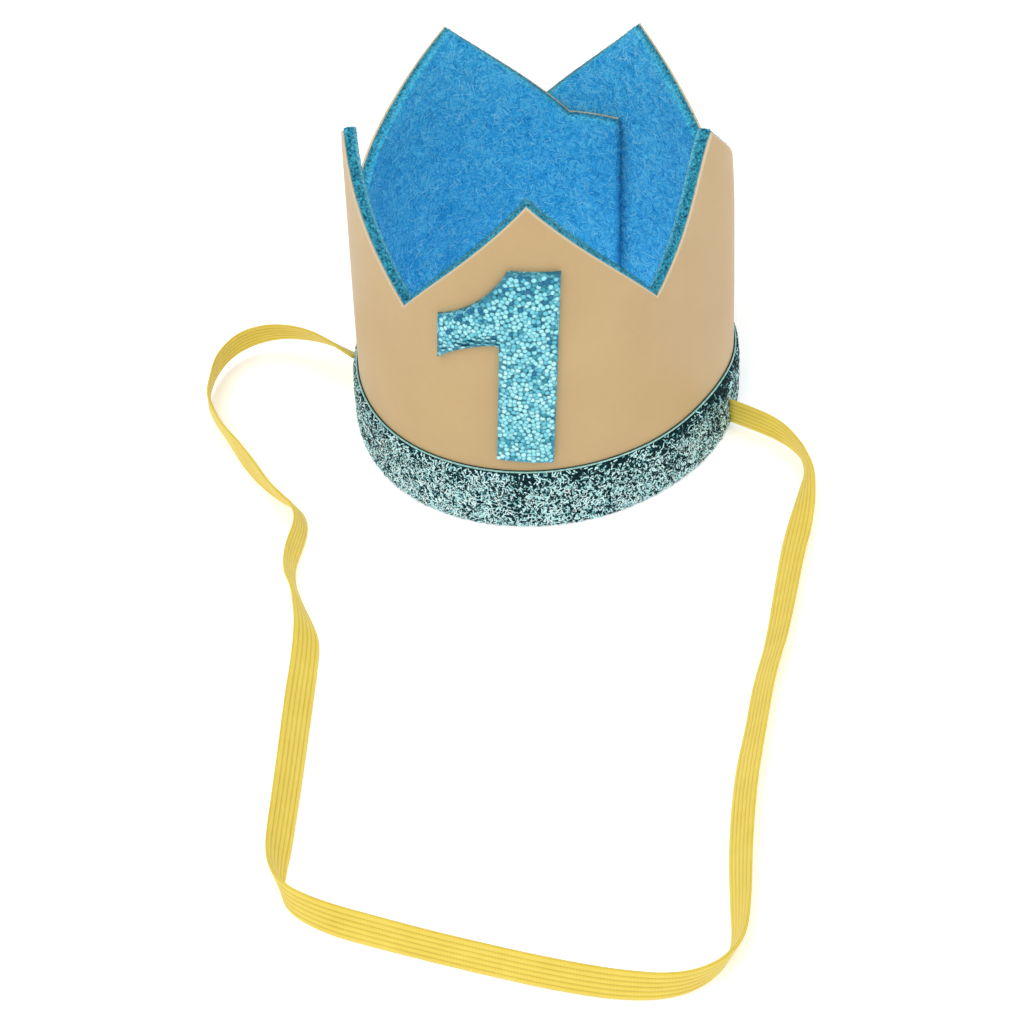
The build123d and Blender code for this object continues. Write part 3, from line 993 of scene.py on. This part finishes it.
flakeSet = {
    "stops": [
        (0.0, shade(26, 118, 160)), (0.06, shade(60, 166, 184)), (0.16, shade(102, 202, 226)),
        (0.45, shade(140, 227, 242)), (0.8, shade(162, 239, 250)), (1.0, shade(190, 249, 255)),
    ],
    "patch": (190.0, 0.6),
    # dark rim colour of each flake: painted shade between overlapping flakes, and the dark ground between them
    "rim": shade(6, 48, 62),
    "rimPower": 6.0,
    "metallic": 0.15,
    "roughness": 0.4,
    "specular": 0.35,
    "scatter": {
        "Mask": "glitterMask", "Density": 9.0e6, "Spacing": 0.00100, "Seed": 8, "Length": 0.00156,
        "Width": 0.00156, "Tilt": 0.16, "Lift": 0.00022, "Keep": 0.00046,
    },
}
flakeFoil = glitterMaterial("flakeFoil", flakeSet)
flakes = scatter(numeral, flakeTree, "numeralFlakes", flakeFoil, flakeSet["scatter"])

hairSet = {
    "stops": [
        (0.0, shade(30, 154, 219)), (0.5, shade(70, 198, 247)),
        (0.85, shade(124, 223, 254)), (1.0, shade(168, 239, 255)),
    ],
    "patch": (90.0, 0.4),
    "metallic": 0.0,
    "roughness": 0.9,
    "specular": 0.1,
    "scatter": {
        "Mask": "hairMask", "Density": 1.05e6, "Seed": 33, "Length": 0.0024, "Width": 0.00018,
        "Tilt": 0.08, "Lift": 0.00020, "Bend": 1.0, "Steps": 4,
    },
}
hairs = scatter(felt, strandTree, "feltHairs", glitterMaterial("faceFibre", hairSet), hairSet["scatter"])

fuzzSet = {
    "stops": [(0.0, shade(16, 92, 116)), (0.5, shade(40, 140, 165)), (1.0, shade(104, 196, 210))],
    "patch": (300.0, 0.3),
    "metallic": 0.0,
    "roughness": 0.9,
    "specular": 0.1,
    "scatter": {
        "Mask": "edgeMask", "Density": 6.0e6, "Seed": 21, "Length": 0.0011, "Width": 0.00007,
        "Tilt": 1.1, "Lift": 0.00015, "Bend": 2.0, "Steps": 4,
    },
}
fuzz = scatter(felt, strandTree, "feltFuzz", glitterMaterial("edgeFibre", fuzzSet), fuzzSet["scatter"])


# pale floor and soft lamps
stageSet = {"half": 8.0, "light": shade(250, 250, 250), "dark": shade(248, 248, 248), "glow": 0.28}
half = stageSet["half"]
floorCorners = [(-half, -half, 0), (half, -half, 0), (half, half, 0), (-half, half, 0)]
floor = meshPiece("floor", floorCorners, [(0, 1, 2, 3)], smooth=False)
floorMaterial, floorTree, floorSurface = newMaterial("paleFloor")
floorTone = useGroup(floorTree, mottle, Scale=3.0, Detail=2.0)
floorColour = ramp(floorTree, floorTone, [(0.3, stageSet["dark"]), (0.7, stageSet["light"])])
link(floorTree, floorColour, floorSurface.inputs["Base Color"])
floorSurface.inputs["Roughness"].default_value = 0.9
floorSurface.inputs["Emission Color"].default_value = (1, 1, 1, 1)
floorSurface.inputs["Emission Strength"].default_value = stageSet["glow"]
floor.data.materials.append(floorMaterial)

lightSet = {
    "world": 0.44,
    "aim": (0, -0.05, 0.03),
    "lamps": [
        ("key", (-1.00, -1.15, 2.00), 1.6, 27.0),
        ("fill", (1.50, -0.80, 1.60), 1.6, 11.0),
        ("top", (0.00, 0.30, 2.40), 2.0, 17.0),
    ],
}
world = bpy.data.worlds.new("studio")
world.use_nodes = True
background = world.node_tree.nodes["Background"]
background.inputs["Color"].default_value = (1, 1, 1, 1)
background.inputs["Strength"].default_value = lightSet["world"]
scene.world = world
for name, place, size, power in lightSet["lamps"]:
    lamp = bpy.data.objects.new(name, bpy.data.lights.new(name, "AREA"))
    lamp.data.size = size
    lamp.data.energy = power
    lamp.location = place
    aim = Vector(lightSet["aim"]) - Vector(place)
    lamp.rotation_mode = "QUATERNION"
    lamp.rotation_quaternion = aim.to_track_quat("-Z", "Y")
    scene.collection.objects.link(lamp)
print("stage and lights made")
